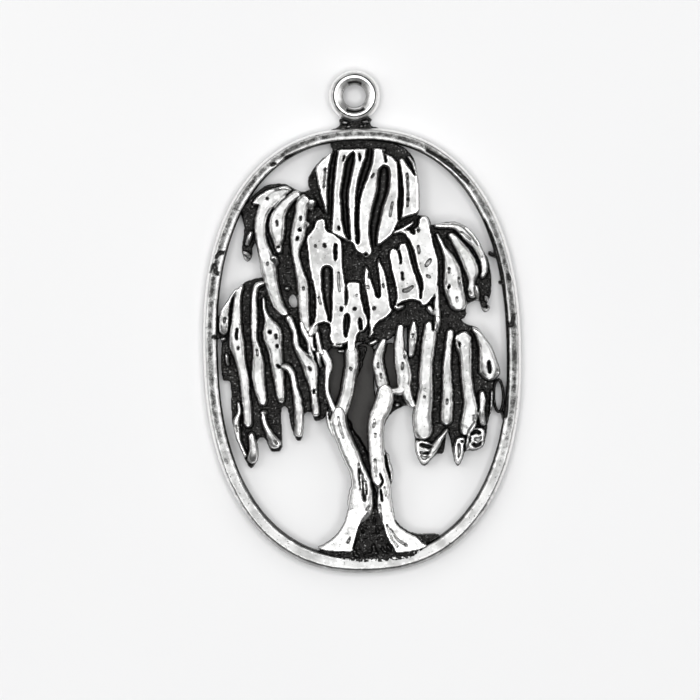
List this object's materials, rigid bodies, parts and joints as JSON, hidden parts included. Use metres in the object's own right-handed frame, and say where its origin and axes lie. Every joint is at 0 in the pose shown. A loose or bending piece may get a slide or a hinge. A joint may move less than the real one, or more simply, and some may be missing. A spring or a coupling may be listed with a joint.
{
  "type": "willow tree pendant",
  "caption": "Flat openwork oval pendant with a fixed hanging loop and a weeping willow in high relief, cast in blackened and polished silver.",
  "frame": {"origin": "centre of the whole pendant's outline, loop included, on the plane of its flat back", "axes": "+Y from the roots towards the hanging loop, +Z out of the front, +X to the right as seen from the front"},
  "size_m": [0.0242, 0.038, 0.0031],
  "materials": {
    "silver": "cast silver, raised parts polished bright, hollows left satin and blackened",
    "blackened_silver": "blackened cast silver, pitted"
  },
  "bodies": {
    "root": {"oval_frame": "silver", "hanging_loop": "silver", "trunk_left": "silver", "trunk_right": "silver", "bough_left_outer": "silver", "bough_left_inner": "silver", "bough_right_inner": "silver", "bough_right_outer": "silver", "bough_right_spur": "silver", "foliage_crown": "silver", "foliage_left_shoulder": "silver", "foliage_right_shoulder": "silver", "foliage_inner_left": "silver", "foliage_centre": "silver", "foliage_inner_right": "silver", "foliage_lower_left": "silver", "foliage_lower_right": "silver", "root_foot": "blackened_silver", "bridge_side_loop": "blackened_silver"}
  },
  "joints": []
}
